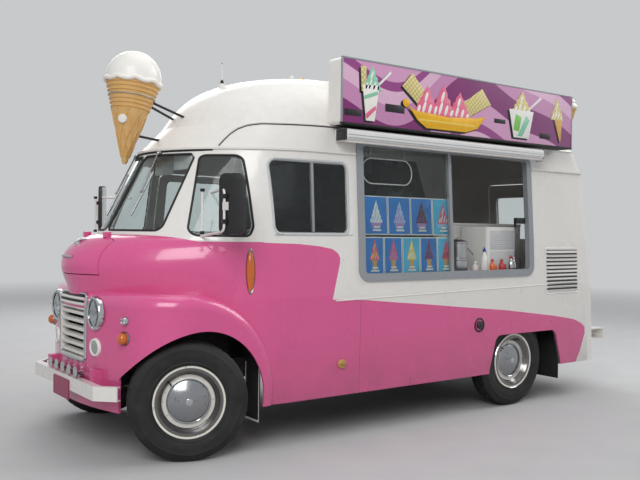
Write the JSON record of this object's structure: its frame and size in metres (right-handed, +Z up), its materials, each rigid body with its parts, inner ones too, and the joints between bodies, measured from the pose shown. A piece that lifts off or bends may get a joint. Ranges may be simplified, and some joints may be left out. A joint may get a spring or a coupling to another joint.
{
  "type": "ice cream truck",
  "caption": "Vintage semi-forward-control ice cream truck with a serving hatch, a roof sign, a model cone over the windscreen, steered front wheels, opening doors and bonnet lid.",
  "frame": {"origin": "on the ground on the centreline, halfway between the front bumper's plate and the back of the rear step", "axes": "+X forwards, +Y to the left (serving side), +Z up"},
  "size_m": [4.92, 2.2496, 2.6916],
  "materials": {
    "white_paint": "weathered gloss",
    "body_paint": "gloss",
    "grey_paint": "satin",
    "frame_black": "satin",
    "exhaust_steel": "stained",
    "engine_iron": "matte",
    "chrome": "polished",
    "steel": "brushed",
    "brass": "aged",
    "clear_glass": "clear",
    "amber_lens": "gloss",
    "plate_white": "gloss",
    "black_rubber": "matte",
    "tyre_rubber": "matte",
    "sign_pink": "satin",
    "cone_tan": "satin",
    "white_laminate": "satin",
    "seat_vinyl": "grained",
    "black_plastic": "matte"
  },
  "bodies": {
    "truck": {"chassis_frame": "frame_black", "axles_and_springs": "frame_black", "exhaust": "exhaust_steel", "fuel_tank": "frame_black", "engine": "engine_iron", "floor": "frame_black", "side_wall_left": "body_paint", "side_wall_right": "body_paint", "rear_wall": "body_paint", "roof": "white_paint", "cab_shell": "white_paint", "nose_panel": "body_paint", "wing_left": "body_paint", "wing_right": "body_paint", "toe_board": "white_paint", "scuttle": "white_paint", "grille": "white_paint", "bumpers": "white_paint", "gutters": "chrome", "louvre_vent": "white_paint", "hatch_frame": "grey_paint", "windscreen": "clear_glass", "side_glazing": "clear_glass", "headlamps": "chrome", "headlamp_lenses": "clear_glass", "small_lamps": "amber_lens", "horns": "chrome", "number_plates": "plate_white", "mirrors": "white_paint", "wipers": "chrome", "filler_caps": "brass", "mud_flaps": "black_rubber", "sign_box": "sign_pink", "awning_housing": "grey_paint", "cone": "cone_tan", "roof_fittings": "white_paint", "interior_units": "white_laminate", "machine": "steel", "seat": "seat_vinyl", "controls": "black_plastic"},
    "bonnet_lid": {"bonnet_lid": "white_paint"},
    "driver_door": {"driver_door": "body_paint", "door_glass": "clear_glass"},
    "rear_door": {"rear_door": "body_paint", "rear_glass": "clear_glass"},
    "knuckle_left": {"knuckle_left": "frame_black"},
    "wheel_front_left": {"tyre_front_left": "tyre_rubber", "wheel_front_left": "white_paint"},
    "wheel_rear_left": {"tyre_rear_left": "tyre_rubber", "wheel_rear_left": "white_paint"},
    "knuckle_right": {"knuckle_right": "frame_black"},
    "wheel_front_right": {"tyre_front_right": "tyre_rubber", "wheel_front_right": "white_paint"},
    "wheel_rear_right": {"tyre_rear_right": "tyre_rubber", "wheel_rear_right": "white_paint"}
  },
  "joints": [
    {"name": "steer_left", "type": "hinge", "parent": "truck", "child": "knuckle_left", "pos_m": [1.89, 0.69, 0.375], "axis": [0, 0, 1], "range_deg": [-15, 55]},
    {"name": "steer_right", "type": "hinge", "parent": "truck", "child": "knuckle_right", "pos_m": [1.89, -0.69, 0.375], "axis": [0, 0, 1], "range_deg": [-15, 55]},
    {"name": "spin_front_left", "type": "hinge", "parent": "knuckle_left", "child": "wheel_front_left", "pos_m": [1.92249, 0.77927, 0.375], "axis": [0.342, 0.9397, 0], "continuous": true},
    {"name": "spin_rear_left", "type": "hinge", "parent": "truck", "child": "wheel_rear_left", "pos_m": [-1.08, 0.785, 0.375], "axis": [0, 1, 0], "continuous": true},
    {"name": "spin_front_right", "type": "hinge", "parent": "knuckle_right", "child": "wheel_front_right", "pos_m": [1.85751, -0.77927, 0.375], "axis": [0.342, 0.9397, 0], "continuous": true},
    {"name": "spin_rear_right", "type": "hinge", "parent": "truck", "child": "wheel_rear_right", "pos_m": [-1.08, -0.785, 0.375], "axis": [0, 1, 0], "continuous": true},
    {"name": "driver_door_hinge", "type": "hinge", "parent": "truck", "child": "driver_door", "pos_m": [1.408, -0.938, 1], "axis": [0, 0, 1], "range_deg": [0, 70]},
    {"name": "rear_door_hinge", "type": "hinge", "parent": "truck", "child": "rear_door", "pos_m": [-2.16926, 0.3335, 1.28929], "axis": [-0.0712, 0, -0.9975], "range_deg": [0, 100]},
    {"name": "bonnet_hinge", "type": "hinge", "parent": "truck", "child": "bonnet_lid", "pos_m": [2.222, 0, 1.42], "axis": [0, -1, 0], "range_deg": [0, 50]}
  ],
  "couplings": [
    {"joint": "steer_right", "follows": "steer_left", "ratio": 1}
  ]
}
